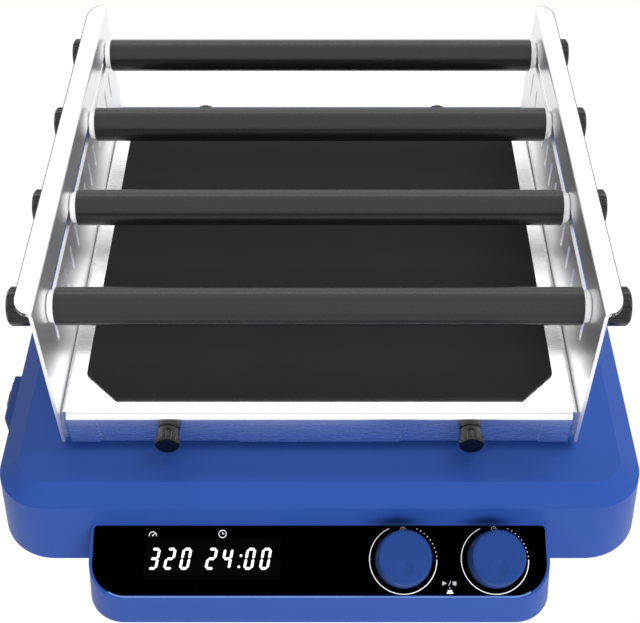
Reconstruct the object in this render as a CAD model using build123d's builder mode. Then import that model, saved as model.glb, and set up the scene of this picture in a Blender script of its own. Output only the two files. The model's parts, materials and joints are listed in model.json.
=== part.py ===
from build123d import *
import math
import os

os.makedirs("parts", exist_ok=True)


# Driving dimensions, in millimetres and degrees.
# The origin is on the ground under the drive spindle, X to the right, Y to the back, Z up.

# Housing: a low box with drafted sides and a bevelled rim
housing_width = 370.0
housing_depth = 374.0
housing_corner_radius = 30.0
housing_wall = 3.0
ground_gap = 19.0
skirt_height = 45.0
skirt_draft = 5.6
bevel_height = 8.1
bevel_inset = 12.3

# Base plate, feet and screws
base_sheet = 2.0
base_recess = 2.0
base_fit = 0.3
vent_length = 44.0
vent_width = 4.0
vent_pitch = 10.0
vent_count = 6
foot_margin_x = 35.0
foot_margin_y = 37.0
foot_radius = 16.0
foot_edge = 1.0
foot_top_radius = 13.0
foot_recess_radius = 6.0
foot_recess_depth = 8.0
screw_radius = 2.5
screw_head_radius = 4.6
screw_head_height = 3.0
screw_grip = 12.0
screw_end_gap = 2.0
post_radius = 7.0
side_post_margin_x = 25.0
side_post_margin_y = 21.5

# Control nose: a drafted box in front with a tilted panel
nose_width = 266.8
nose_projection = 38.4
nose_front_height = 22.9
nose_ground_gap = 9.4
nose_corner_radius = 22.0
nose_back_reach = 7.0
nose_wall = 3.0
nose_side_wall = 4.0
nose_hollow_overrun = 1.0
panel_tilt = 27.0
panel_length = 43.0
panel_front_rim = 1.6
panel_back_rim = 2.8
panel_side_rim = 1.1
panel_thickness = 1.2
panel_front_corner = 18.0
panel_back_corner = 2.5
panel_fit = 0.15
cable_window_width = 180.0
cable_window_height = 18.0
cable_window_rise = 6.0

# Display and control board behind the panel
window_centre_x = -60.5
window_drop = 21.3
window_width = 77.0
window_height = 23.5
board_width = 226.0
board_height = 28.0
board_shift = 3.0
board_thickness = 1.6

# Dials: two encoders under two push knobs
dial_centre_x = 73.2
dial_spacing = 51.8
dial_drop = 21.8
encoder_size = 14.0
encoder_depth = 7.5
encoder_floor = 1.5
bushing_radius = 4.5
bushing_height = 5.0
rotor_radius = 3.5
shaft_radius = 2.5
running_fit = 0.05
nut_flats = 12.0
nut_height = 2.0
knob_radius = 16.0
knob_top_radius = 15.0
knob_height = 16.0
knob_gap = 1.6
knob_edge_radius = 2.0
knob_bore_radius = 9.5
knob_bore_depth = 7.5
knob_dimple_radius = 5.0
knob_dimple_depth = 1.0
knob_dimple_offset = 6.0
push_travel = 1.0
shaft_grip = 5.0

# Power switch in its raised surround on the left wall
switch_margin = 90.0
switch_z = 40.0
surround_length = 34.0
surround_height = 28.0
surround_reach = 7.5
surround_fillet = 2.0
bezel_length = 30.0
bezel_height = 22.0
bezel_thickness = 1.5
switch_body_length = 26.0
switch_body_height = 18.0
switch_body_depth = 22.0
switch_body_fit = 0.2
rocker_length = 20.6
rocker_width = 13.0
rocker_gap = 0.5
rocker_throw = 6.0
rocker_pivot_drop = 2.0
rocker_keel = 4.0
rocker_skirt = 1.0
rocker_pin_radius = 1.2
rocker_pin_length = 1.5

# Mains inlet on the rear wall
inlet_margin = 65.0
inlet_z = 43.0
inlet_flange_width = 50.0
inlet_flange_height = 28.0
inlet_flange_thickness = 2.5
inlet_body_width = 28.0
inlet_body_height = 20.0
inlet_body_depth = 24.0
inlet_socket_wall = 2.0
inlet_socket_depth = 16.0
inlet_blade_spacing = 7.0
inlet_blade_rise = 3.0
inlet_blade_thickness = 2.0
inlet_blade_height = 4.0
inlet_blade_length = 11.0
inlet_screw_spacing = 40.0
inlet_screw_radius = 1.6

# Drive: motor, belt, spindle and crank
orbit_radius = 5.0
motor_radius = 40.0
motor_height = 28.0
motor_flange = 88.0
motor_flange_thickness = 4.0
motor_screw_margin = 5.0
motor_shaft_radius = 4.0
motor_pulley_radius = 14.0
driven_pulley_radius = 42.0
pulley_width = 8.0
pulley_flange = 1.0
pulley_flange_rise = 2.5
pulley_rim = 6.0
pulley_web = 3.0
pulley_hub_radius = 13.0
pulley_hole_radius = 6.0
pulley_hole_count = 6
pulley_clearance = 1.0
belt_thickness = 2.0
belt_gap = 0.3
belt_side_gap = 0.5
spindle_radius = 7.5
spindle_bearing_radius = 16.0
spindle_bearing_width = 9.0
spindle_barrel_radius = 22.0
spindle_flange_radius = 36.0
spindle_flange_thickness = 5.0
spindle_screw_margin = 6.0
spindle_rib_root = 2.0
spindle_rib_toe = 3.0
spindle_bearing_spread = 17.0
spindle_bearing_lift = 2.0
spindle_barrel_lip = 0.5
shaft_overhang = 1.0
counterweight_radius = 58.0
counterweight_thickness = 6.0
counterweight_gap = 0.4
counterweight_hub_radius = 16.0
counterweight_bore_radius = 10.0
crank_web_radius = 17.0
crank_hole_gap = 4.0
pin_shoulder = 2.0

# Idler cranks, which keep the platform from turning
idler_spacing_x = 200.0
idler_spacing_y = 200.0
idler_radius = 5.0
idler_shoulder_radius = 7.0
idler_web_radius = 9.5
idler_web_thickness = 5.0
idler_bearing_radius = 13.0
idler_bearing_width = 8.0
idler_bearing_lip = 1.0
idler_barrel_radius = 17.0
idler_flange_radius = 23.0
idler_flange_thickness = 4.0
idler_hole_gap = 3.0
open_pivot_gap = 0.35
race_gap = 0.2
shield_recess = 0.4
web_gap = 1.4

# Platform and tray
platform_gap = 7.5
table_depth = 18.0
table_skin = 5.0
table_rim = 6.0
table_rib = 4.0
table_rib_rise = 2.0
table_boss_wall = 5.0
table_fit = 0.3
table_bearing_radius = 17.5
table_bearing_width = 11.0
table_bearing_inset = 1.0
pin_top_gap = 2.0
tray_width = 292.8
tray_length = 289.3
tray_sheet = 2.0
tray_bend_radius = 3.0
tray_corner_relief = 3.5
lip_height = 23.0
lip_recess_width = 80.0
lip_recess_depth = 0.8
side_height = 83.9
side_flange = 11.3
flange_corner_width = 9.0
flange_corner_length = 13.0
bar_slot_front_margin = 21.65
bar_slot_rear_margin = 15.65
bar_slot_height = 8.2
bar_height = 59.4
hook_slot_margin = 28.0
hook_slot_pitch = 19.1
hook_slot_width = 4.0
hook_slot_length = 18.0
hook_slot_height = 38.0
hook_slot_shift = 2.2

# Rubber mat
mat_side_margin = 11.7
mat_end_margin = 12.15
mat_thickness = 2.0
mat_corner = 18.6

# Clamp bars and their knobs: the end bars near the slots' ends, the others shifted from even spacing
bar_front_setback = 7.5
bar_rear_setback = 7.0
bar_shifts = (0.0, 1.5, 2.2, 0.0)
bar_core_radius = 9.0
bar_sleeve_radius = 10.5
bar_sleeve_setback = 3.9
bar_end_gap = 0.3
bar_end_chamfer = 0.8
bar_stud_radius = 3.5
bar_stud_grip = 20.0
bar_stud_end_gap = 1.0
bar_knob_radius = 10.8
bar_knob_length = 12.5
bar_knob_hub_radius = 6.0
bar_knob_hub_length = 6.3
bar_knob_gap = 0.3
bar_knob_chamfer = 1.2
bar_knob_flutes = 10
bar_knob_flute_radius = 2.0
bar_knob_flute_depth = 1.1

# Thumb screws in the front and rear lips
thumb_spacing = 172.0
thumb_drop = 13.2
thumb_head_radius = 7.3
thumb_neck_radius = 6.2
thumb_head_length = 11.0
thumb_chamfer = 1.0
thumb_gap = 0.3
thumb_flutes = 16
thumb_flute_radius = 0.8
thumb_flute_shift = 0.2
thumb_shank_radius = 2.5
thumb_shank_grip = 12.0
thumb_end_gap = 1.0
thumb_hole_gap = 0.5

# Power supply on the base plate
supply_margin = 68.0
supply_y = 8.0
supply_width = 62.0
supply_length = 108.0
supply_height = 27.0
supply_corner = 2.0


# Levels that follow from the driving dimensions
skirt_top_z = ground_gap + skirt_height
housing_top_z = skirt_top_z + bevel_height
roof_z = housing_top_z - housing_wall
base_z = ground_gap + base_recess
base_top_z = base_z + base_sheet
table_bottom_z = housing_top_z + platform_gap
table_top_z = table_bottom_z + table_depth
floor_z = table_top_z + tray_sheet
lip_bottom_z = floor_z - lip_height
side_top_z = floor_z + side_height
bar_z = floor_z + bar_height
thumb_z = floor_z - thumb_drop
draft_slope = math.tan(math.radians(skirt_draft))
bevel_angle = math.degrees(math.atan2(bevel_inset, bevel_height))


def skirt_grow(z):
    """How far the drafted skirt stands out at a height, beyond its top edge."""
    return (skirt_top_z - z) * draft_slope


def housing_block(inset, rim_z, top_z):
    """The housing's drafted and bevelled form, drawn in by inset all round."""
    low = 2 * (skirt_grow(ground_gap) - inset)
    rim = 2 * (skirt_grow(rim_z) - inset)
    with BuildPart() as block:
        with BuildSketch(Plane.XY.offset(ground_gap)):
            RectangleRounded(
                housing_width + low, housing_depth + low, housing_corner_radius + low / 2
            )
        extrude(amount=rim_z - ground_gap, taper=skirt_draft)
        with BuildSketch(Plane.XY.offset(rim_z)):
            RectangleRounded(
                housing_width + rim, housing_depth + rim, housing_corner_radius + rim / 2
            )
        extrude(amount=top_z - rim_z, taper=bevel_angle)
    return block.part


housing_outside = housing_block(0.0, skirt_top_z, housing_top_z)
inner_rim_z = skirt_top_z - housing_wall * math.tan(math.radians(bevel_angle / 2))
housing_inside = housing_block(housing_wall, inner_rim_z, roof_z)

# Places that more than one piece shares
foot_x = housing_width / 2 - foot_margin_x
foot_y = housing_depth / 2 - foot_margin_y
foot_places = [(side * foot_x, end * foot_y) for side in (-1, 1) for end in (-1, 1)]
side_post_x = housing_width / 2 - side_post_margin_x
side_post_y = housing_depth / 2 - side_post_margin_y
side_post_places = [(-side_post_x, 0), (side_post_x, 0), (0, -side_post_y), (0, side_post_y)]
idler_places = [
    (side * idler_spacing_x / 2, end * idler_spacing_y / 2) for side in (-1, 1) for end in (-1, 1)
]
pin_places = [(x, y - orbit_radius) for x, y in idler_places]
dial_places = [dial_centre_x - dial_spacing / 2, dial_centre_x + dial_spacing / 2]
supply_x = supply_margin - housing_width / 2

# The motor stands midway between the spindle's foot and the rear post
motor_y = (spindle_flange_radius + side_post_y - post_radius) / 2

# The panel's plane: its origin is at the middle of the nose's front top edge, its Y runs up the slope
nose_front_y = -housing_depth / 2 - nose_projection
nose_edge_z = nose_ground_gap + nose_front_height
panel_plane = Plane(
    origin=(0, nose_front_y, nose_edge_z),
    x_dir=(1, 0, 0),
    z_dir=(0, -math.sin(math.radians(panel_tilt)), math.cos(math.radians(panel_tilt))),
)
panel_height = panel_length - panel_front_rim - panel_back_rim
panel_y = panel_front_rim + panel_height / 2
nose_rise = nose_front_height + panel_length * math.sin(math.radians(panel_tilt))
panel_width = nose_width - 2 * (nose_rise * draft_slope + panel_side_rim)
window_y = panel_length - window_drop
dial_y = panel_length - dial_drop

# The switch: its plane faces left, its X runs to the front
switch_face_x = -(housing_width / 2 + surround_reach)
switch_y = switch_margin - housing_depth / 2
switch_plane = Plane(origin=(switch_face_x, switch_y, switch_z), x_dir=(0, -1, 0), z_dir=(-1, 0, 0))

switch_hole_length = switch_body_length + 2 * switch_body_fit
switch_hole_height = switch_body_height + 2 * switch_body_fit

# The mains inlet: its plane lies on the drafted rear wall
inlet_x = housing_width / 2 - inlet_margin
inlet_plane = Plane(
    origin=(inlet_x, housing_depth / 2 + skirt_grow(inlet_z), inlet_z),
    x_dir=(-1, 0, 0),
    z_dir=(0, math.cos(math.radians(skirt_draft)), math.sin(math.radians(skirt_draft))),
)

# The tray rides 5 mm forward of the spindle at rest
tray_plane = Plane(origin=(0, -orbit_radius, 0))
tray_front_y = -orbit_radius - tray_length / 2
wall_inner_x = tray_width / 2
wall_outer_x = wall_inner_x + tray_sheet
mat_width = tray_width - 2 * mat_side_margin
mat_length = tray_length - 2 * mat_end_margin

# The slots in the side plates, and the bars' places along them, measured from the tray's middle
bar_slot_length = tray_length - bar_slot_front_margin - bar_slot_rear_margin
bar_slot_shift = (bar_slot_front_margin - bar_slot_rear_margin) / 2
hook_slot_count = 1 + int((tray_length - 2 * hook_slot_margin) / hook_slot_pitch)
first_bar_y = bar_slot_shift - bar_slot_length / 2 + bar_front_setback
last_bar_y = bar_slot_shift + bar_slot_length / 2 - bar_rear_setback
bar_pitch = (last_bar_y - first_bar_y) / (len(bar_shifts) - 1)
bar_places = [first_bar_y + number * bar_pitch + shift for number, shift in enumerate(bar_shifts)]
core_half = wall_inner_x - bar_end_gap
bar_sleeve_length = 2 * (core_half - bar_sleeve_setback)

# Drive levels, from the base plate up
spindle_low_z = base_top_z + spindle_bearing_lift
spindle_high_z = spindle_low_z + spindle_bearing_spread
spindle_barrel_top_z = spindle_high_z + spindle_bearing_width + spindle_barrel_lip
pulley_z = spindle_barrel_top_z + pulley_clearance
pulley_top_z = pulley_z + pulley_width
belt_z = pulley_z + pulley_flange + belt_side_gap
belt_width = pulley_width - 2 * (pulley_flange + belt_side_gap)
counterweight_z = pulley_top_z + counterweight_gap
counterweight_top_z = counterweight_z + counterweight_thickness
idler_bearing_z = roof_z - idler_flange_thickness - idler_bearing_lip - idler_bearing_width
idler_web_z = housing_top_z + web_gap
idler_web_top_z = idler_web_z + idler_web_thickness
table_bearing_z = table_bottom_z + table_bearing_inset
crank_web_top_z = idler_web_top_z


# Base plate
with BuildPart() as base_plate:
    plate_grow = 2 * (skirt_grow(base_top_z) - housing_wall - base_fit)
    with BuildSketch(Plane.XY.offset(base_z)):
        RectangleRounded(
            housing_width + plate_grow,
            housing_depth + plate_grow,
            housing_corner_radius + plate_grow / 2,
        )
        with Locations(*foot_places, *side_post_places):
            Circle(screw_radius, mode=Mode.SUBTRACT)
        with GridLocations(2 * -supply_x, 0, 2, 1):
            with GridLocations(0, vent_pitch, 1, vent_count):
                SlotOverall(vent_length, vent_width, mode=Mode.SUBTRACT)
    extrude(amount=base_sheet)
base_plate.part.label = "base_plate"
export_step(base_plate.part, "parts/base_plate.step")

# Rubber feet
with BuildPart() as rubber_feet:
    with BuildSketch(Plane.XZ):
        with BuildLine():
            Polyline(
                (foot_recess_radius, 0),
                (foot_radius - foot_edge, 0),
                (foot_radius, foot_edge),
                (foot_top_radius, base_z),
                (screw_radius, base_z),
                (screw_radius, foot_recess_depth),
                (foot_recess_radius, foot_recess_depth),
                close=True,
            )
        make_face()
    foot = revolve(axis=Axis.Z, mode=Mode.PRIVATE)
    with Locations(*foot_places):
        add(foot)
rubber_feet.part.label = "rubber_feet"
export_step(rubber_feet.part, "parts/rubber_feet.step")

# Case screws: four through the feet, four through the base plate, all into the housing's posts
with BuildPart() as case_screws:
    screw_top_z = base_top_z + screw_grip
    for places, head_top_z in ((foot_places, foot_recess_depth), (side_post_places, base_z)):
        with BuildSketch(Plane.XY.offset(head_top_z - screw_head_height)):
            with Locations(*places):
                Circle(screw_head_radius)
        extrude(amount=screw_head_height)
        with BuildSketch(Plane.XY.offset(head_top_z)):
            with Locations(*places):
                Circle(screw_radius)
        extrude(amount=screw_top_z - head_top_z)
case_screws.part.label = "case_screws"
export_step(case_screws.part, "parts/case_screws.step")

# Upper housing
with BuildPart() as upper_housing:
    add(housing_outside)
    add(housing_inside, mode=Mode.SUBTRACT)
    with BuildSketch(Plane.XY.offset(base_top_z)):
        with Locations(*foot_places, *side_post_places):
            Circle(post_radius)
    extrude(amount=roof_z - base_top_z + housing_wall / 2)
    with BuildSketch(Plane.XY.offset(base_top_z)):
        with Locations(*foot_places, *side_post_places):
            Circle(screw_radius)
    extrude(amount=screw_grip + screw_end_gap, mode=Mode.SUBTRACT)
    with BuildSketch(Plane.XY.offset(roof_z)):
        Circle(crank_web_radius + crank_hole_gap)
        with Locations(*idler_places):
            Circle(idler_shoulder_radius + idler_hole_gap)
    extrude(amount=housing_wall, mode=Mode.SUBTRACT)
    # The cable window behind the nose
    with BuildSketch(Plane.XZ.offset(housing_depth / 2 - 2 * housing_wall)):
        with Locations((0, (ground_gap + nose_edge_z) / 2 + cable_window_rise)):
            RectangleRounded(cable_window_width, cable_window_height, housing_wall)
    extrude(amount=6 * housing_wall, mode=Mode.SUBTRACT)
    # The switch window and the inlet window
    with BuildSketch(switch_plane.offset(-switch_body_depth)):
        Rectangle(switch_hole_length, switch_hole_height)
    extrude(amount=switch_body_depth, mode=Mode.SUBTRACT)
    with BuildSketch(inlet_plane.offset(-2 * housing_wall)):
        Rectangle(inlet_body_width, inlet_body_height)
    extrude(amount=3 * housing_wall, mode=Mode.SUBTRACT)
upper_housing.part.label = "upper_housing"
export_step(upper_housing.part, "parts/upper_housing.step")

# Control housing: the nose, seated on the housing's drafted front wall
with BuildPart() as control_housing:
    nose_grow = nose_front_height * draft_slope
    nose_back_y = -housing_depth / 2 + nose_back_reach
    nose_low_y = nose_front_y - nose_grow
    with BuildSketch(Plane.XY.offset(nose_ground_gap)) as nose_plan:
        with Locations((0, (nose_low_y + nose_back_y) / 2)):
            Rectangle(nose_width, nose_back_y - nose_low_y)
        fillet(nose_plan.vertices().group_by(Axis.Y)[0], nose_corner_radius)
    extrude(amount=nose_rise + nose_wall, taper=skirt_draft)
    split(bisect_by=panel_plane, keep=Keep.BOTTOM)
    add(housing_outside, mode=Mode.SUBTRACT)
    # The hollow, open towards the cable window
    hollow_back_y = -housing_depth / 2 + nose_hollow_overrun
    with BuildSketch(Plane.XY.offset(nose_ground_gap + nose_wall)) as nose_hollow:
        with Locations((0, (nose_front_y + nose_wall + hollow_back_y) / 2)):
            Rectangle(
                nose_width - 2 * (nose_grow + nose_side_wall),
                hollow_back_y - nose_front_y - nose_wall,
            )
        fillet(nose_hollow.vertices().group_by(Axis.Y)[0], nose_corner_radius - nose_wall)
    hollow = extrude(amount=nose_rise, mode=Mode.PRIVATE)
    hollow = split(hollow, bisect_by=panel_plane.offset(-nose_wall), keep=Keep.BOTTOM, mode=Mode.PRIVATE)
    add(hollow, mode=Mode.SUBTRACT)
    # The panel's seat, with the display and dial openings through its floor
    with BuildSketch(panel_plane) as seat:
        with Locations((0, panel_y)):
            Rectangle(panel_width + 2 * panel_fit, panel_height + 2 * panel_fit)
        fillet(seat.vertices().group_by(Axis.Y)[0], panel_front_corner)
        fillet(seat.vertices().group_by(Axis.Y)[-1], panel_back_corner)
    extrude(amount=-panel_thickness, mode=Mode.SUBTRACT)
    with BuildSketch(panel_plane):
        with Locations((window_centre_x, window_y)):
            Rectangle(window_width + 2 * panel_fit, window_height + 2 * panel_fit)
        with Locations(*[(x, dial_y) for x in dial_places]):
            Circle(bushing_radius + panel_fit)
    extrude(amount=-2 * nose_wall, mode=Mode.SUBTRACT)
control_housing.part.label = "control_housing"
export_step(control_housing.part, "parts/control_housing.step")

# Panel overlay, with its display window and two dial holes
with BuildPart() as panel_overlay:
    with BuildSketch(panel_plane.offset(-panel_thickness)) as overlay:
        with Locations((0, panel_y)):
            Rectangle(panel_width, panel_height)
        fillet(overlay.vertices().group_by(Axis.Y)[0], panel_front_corner)
        fillet(overlay.vertices().group_by(Axis.Y)[-1], panel_back_corner)
        with Locations((window_centre_x, window_y)):
            Rectangle(window_width, window_height, mode=Mode.SUBTRACT)
        with Locations(*[(x, dial_y) for x in dial_places]):
            Circle(bushing_radius + panel_fit, mode=Mode.SUBTRACT)
    extrude(amount=panel_thickness)
panel_overlay.part.label = "panel_overlay"
export_step(panel_overlay.part, "parts/panel_overlay.step")

# Display module, its lens filling the window, seated on the control board
with BuildPart() as display_module:
    with BuildSketch(panel_plane.offset(-panel_fit)):
        with Locations((window_centre_x, window_y)):
            Rectangle(window_width - 2 * panel_fit, window_height - 2 * panel_fit)
    extrude(amount=-(nose_wall + encoder_depth - panel_fit))
display_module.part.label = "display_module"
export_step(display_module.part, "parts/display_module.step")

# Control board, carried by the encoders
with BuildPart() as control_board:
    with BuildSketch(panel_plane.offset(-(nose_wall + encoder_depth))):
        with Locations((0, panel_y - board_shift)):
            Rectangle(board_width, board_height)
    extrude(amount=-board_thickness)
control_board.part.label = "control_board"
export_step(control_board.part, "parts/control_board.step")

# Encoders: a block under the panel and a threaded bushing through it
with BuildPart() as encoder_bodies:
    with BuildSketch(panel_plane.offset(-nose_wall)):
        with Locations(*[(x, dial_y) for x in dial_places]):
            Rectangle(encoder_size, encoder_size)
    extrude(amount=-encoder_depth)
    with BuildSketch(panel_plane.offset(-nose_wall)):
        with Locations(*[(x, dial_y) for x in dial_places]):
            Circle(bushing_radius)
    extrude(amount=nose_wall + bushing_height)
    with BuildSketch(panel_plane.offset(bushing_height)):
        with Locations(*[(x, dial_y) for x in dial_places]):
            Circle(rotor_radius + running_fit)
    extrude(amount=-(bushing_height + nose_wall + encoder_depth - encoder_floor), mode=Mode.SUBTRACT)
encoder_bodies.part.label = "encoder_bodies"
export_step(encoder_bodies.part, "parts/encoder_bodies.step")

# Panel nuts, which clamp the encoders to the panel under the knobs
with BuildPart() as encoder_nuts:
    with BuildSketch(panel_plane):
        with Locations(*[(x, dial_y) for x in dial_places]):
            RegularPolygon(nut_flats / 2, 6, major_radius=False)
            Circle(bushing_radius, mode=Mode.SUBTRACT)
    extrude(amount=nut_height)
encoder_nuts.part.label = "encoder_nuts"
export_step(encoder_nuts.part, "parts/encoder_nuts.step")

# Each dial: a turning sleeve in the encoder, and a knob whose shaft slides in the sleeve when pushed
rotor_low = -(nose_wall + encoder_depth - encoder_floor - race_gap)
knob_draft = math.degrees(math.atan2(knob_radius - knob_top_radius, knob_height))
for dial_name, dial_x in zip(("speed", "time"), dial_places):
    dial_plane = Plane(
        origin=panel_plane.from_local_coords((dial_x, dial_y, 0)),
        x_dir=panel_plane.x_dir,
        z_dir=panel_plane.z_dir,
    )
    dial_axis = Axis(dial_plane.origin, dial_plane.z_dir)
    with BuildPart() as dial_rotor:
        with BuildSketch(dial_plane.offset(rotor_low)):
            Circle(rotor_radius)
            Circle(shaft_radius + running_fit, mode=Mode.SUBTRACT)
        extrude(amount=bushing_height - rotor_low)
    dial_rotor.part.label = f"{dial_name}_encoder_rotor"
    export_step(dial_rotor.part, f"parts/{dial_name}_encoder_rotor.step")

    with BuildPart() as dial_knob:
        knob_top = knob_gap + knob_height
        with BuildSketch(dial_plane.offset(knob_gap)):
            Circle(knob_radius)
        extrude(amount=knob_height, taper=knob_draft)
        fillet(dial_knob.faces().sort_by(dial_axis)[-1].edges(), knob_edge_radius)
        with BuildSketch(dial_plane.offset(knob_gap)):
            Circle(knob_bore_radius)
        extrude(amount=knob_bore_depth, mode=Mode.SUBTRACT)
        # The finger dimple is a shallow ball cut near the front of the top face
        ball_radius = (knob_dimple_radius**2 + knob_dimple_depth**2) / (2 * knob_dimple_depth)
        ball_rise = knob_top + ball_radius - knob_dimple_depth
        with Locations(dial_plane):
            with Locations((0, -knob_dimple_offset, ball_rise)):
                Sphere(ball_radius, mode=Mode.SUBTRACT)
        # The shaft, fixed in the knob
        with BuildSketch(dial_plane.offset(rotor_low + push_travel)):
            Circle(shaft_radius)
        extrude(amount=knob_top - shaft_grip - rotor_low - push_travel)
    dial_knob.part.label = f"{dial_name}_knob"
    export_step(dial_knob.part, f"parts/{dial_name}_knob.step")

# Switch surround, moulded as a raised box on the left wall
with BuildPart() as switch_surround:
    with BuildSketch(switch_plane):
        Rectangle(surround_length, surround_height)
    extrude(amount=-(surround_reach + 3 * housing_wall))
    fillet(switch_surround.edges().filter_by(Axis.X), surround_fillet)
    add(housing_outside, mode=Mode.SUBTRACT)
    with BuildSketch(switch_plane):
        Rectangle(switch_hole_length, switch_hole_height)
    extrude(amount=-(surround_reach + 3 * housing_wall), mode=Mode.SUBTRACT)
switch_surround.part.label = "switch_surround"
export_step(switch_surround.part, "parts/switch_surround.step")

# Rocker: its ends dip in turn, and at rest the front end is pressed in
throw = math.radians(rocker_throw)
rocker_end = rocker_pivot_drop / math.cos(throw) + rocker_length / 2 * math.tan(throw)
rocker_crown = rocker_end + rocker_length / 2 * math.tan(throw)
rocker_plane = Plane(
    origin=switch_plane.from_local_coords((0, 0, bezel_thickness - rocker_pivot_drop)),
    x_dir=(math.sin(throw), -math.cos(throw), 0),
    z_dir=(0, 0, -1),
)
with BuildPart() as rocker:
    with BuildSketch(rocker_plane):
        with BuildLine():
            Polyline(
                (-rocker_length / 2, rocker_end),
                (0, rocker_crown),
                (rocker_length / 2, rocker_end),
                (rocker_length / 2, -rocker_skirt),
                (0, -rocker_keel),
                (-rocker_length / 2, -rocker_skirt),
                close=True,
            )
        make_face()
    extrude(amount=rocker_width / 2, both=True)
    with BuildSketch(rocker_plane):
        Circle(rocker_pin_radius)
    extrude(amount=rocker_width / 2 + rocker_pin_length, both=True)
rocker.part.label = "rocker"
export_step(rocker.part, "parts/rocker.step")

# Switch body: a bezel on the surround and a block behind it, with the rocker's pocket and pin holes
with BuildPart() as switch_body:
    with BuildSketch(switch_plane):
        RectangleRounded(bezel_length, bezel_height, surround_fillet)
    extrude(amount=bezel_thickness)
    with BuildSketch(switch_plane):
        Rectangle(switch_body_length, switch_body_height)
    extrude(amount=-switch_body_depth)
    with BuildSketch(switch_plane.offset(bezel_thickness)):
        Rectangle(rocker_length + 2 * rocker_gap, rocker_width + 2 * rocker_gap)
    extrude(amount=-(rocker_pivot_drop + rocker_keel + rocker_gap), mode=Mode.SUBTRACT)
    with BuildSketch(rocker_plane):
        Circle(rocker_pin_radius + running_fit)
    extrude(amount=rocker_width / 2 + rocker_pin_length + rocker_gap / 2, both=True, mode=Mode.SUBTRACT)
switch_body.part.label = "switch_body"
export_step(switch_body.part, "parts/switch_body.step")

# Mains inlet: a flange on the rear wall, a body through it and a socket with three blades
with BuildPart() as power_inlet:
    with BuildSketch(inlet_plane):
        RectangleRounded(inlet_flange_width, inlet_flange_height, housing_wall)
    extrude(amount=inlet_flange_thickness)
    with BuildSketch(inlet_plane):
        Rectangle(inlet_body_width, inlet_body_height)
    extrude(amount=-inlet_body_depth)
    with BuildSketch(inlet_plane.offset(inlet_flange_thickness)) as socket:
        Rectangle(inlet_body_width - 2 * inlet_socket_wall, inlet_body_height - 2 * inlet_socket_wall)
        chamfer(socket.vertices().group_by(Axis.Y)[-1], 2 * inlet_socket_wall)
    extrude(amount=-inlet_socket_depth, mode=Mode.SUBTRACT)
    with BuildSketch(inlet_plane.offset(inlet_flange_thickness - inlet_socket_depth)):
        with Locations(
            (-inlet_blade_spacing, -inlet_blade_rise / 2),
            (0, inlet_blade_rise / 2),
            (inlet_blade_spacing, -inlet_blade_rise / 2),
        ):
            Rectangle(inlet_blade_thickness, inlet_blade_height)
    extrude(amount=inlet_blade_length)
    with BuildSketch(inlet_plane):
        with GridLocations(inlet_screw_spacing, 0, 2, 1):
            Circle(inlet_screw_radius)
    extrude(amount=inlet_flange_thickness, mode=Mode.SUBTRACT)
power_inlet.part.label = "power_inlet"
export_step(power_inlet.part, "parts/power_inlet.step")

# Power supply, a closed box on the base plate
with BuildPart() as power_supply:
    with BuildSketch(Plane.XY.offset(base_top_z)):
        with Locations((supply_x, supply_y)):
            RectangleRounded(supply_width, supply_length, supply_corner)
    extrude(amount=supply_height)
power_supply.part.label = "power_supply"
export_step(power_supply.part, "parts/power_supply.step")

# Motor: a flanged can on the base plate, its shaft up
motor_top_z = base_top_z + motor_height
motor_bore_depth = motor_height - motor_flange_thickness
with BuildPart() as motor_body:
    motor_screw_spacing = motor_flange - 2 * motor_screw_margin
    with BuildSketch(Plane.XY.offset(base_top_z)):
        with Locations((0, motor_y)):
            RectangleRounded(motor_flange, motor_flange, screw_head_radius)
            with GridLocations(motor_screw_spacing, motor_screw_spacing, 2, 2):
                Circle(screw_radius, mode=Mode.SUBTRACT)
    extrude(amount=motor_flange_thickness)
    with BuildSketch(Plane.XY.offset(base_top_z)):
        with Locations((0, motor_y)):
            Circle(motor_radius)
    extrude(amount=motor_height)
    fillet(motor_body.faces().sort_by(Axis.Z)[-1].edges(), motor_shaft_radius)
    with BuildSketch(Plane.XY.offset(motor_top_z)):
        with Locations((0, motor_y)):
            Circle(motor_shaft_radius + running_fit)
    extrude(amount=-motor_bore_depth, mode=Mode.SUBTRACT)
motor_body.part.label = "motor_body"
export_step(motor_body.part, "parts/motor_body.step")

# Motor shaft
with BuildPart() as motor_shaft:
    with BuildSketch(Plane.XY.offset(motor_top_z - motor_bore_depth + race_gap)):
        with Locations((0, motor_y)):
            Circle(motor_shaft_radius)
    extrude(amount=pulley_top_z - motor_top_z + motor_bore_depth - race_gap)
motor_shaft.part.label = "motor_shaft"
export_step(motor_shaft.part, "parts/motor_shaft.step")

# Motor pulley, flanged at both ends
with BuildPart() as motor_pulley:
    with BuildSketch(Plane.XY.offset(pulley_z)):
        with Locations((0, motor_y)):
            Circle(motor_pulley_radius + pulley_flange_rise)
    extrude(amount=pulley_width)
    with BuildSketch(Plane.XY.offset(pulley_z + pulley_flange)):
        with Locations((0, motor_y)):
            Circle(motor_pulley_radius + pulley_flange_rise)
            Circle(motor_pulley_radius, mode=Mode.SUBTRACT)
    extrude(amount=pulley_width - 2 * pulley_flange, mode=Mode.SUBTRACT)
    with BuildSketch(Plane.XY.offset(pulley_z)):
        with Locations((0, motor_y)):
            Circle(motor_shaft_radius)
    extrude(amount=pulley_width, mode=Mode.SUBTRACT)
motor_pulley.part.label = "motor_pulley"
export_step(motor_pulley.part, "parts/motor_pulley.step")

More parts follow.
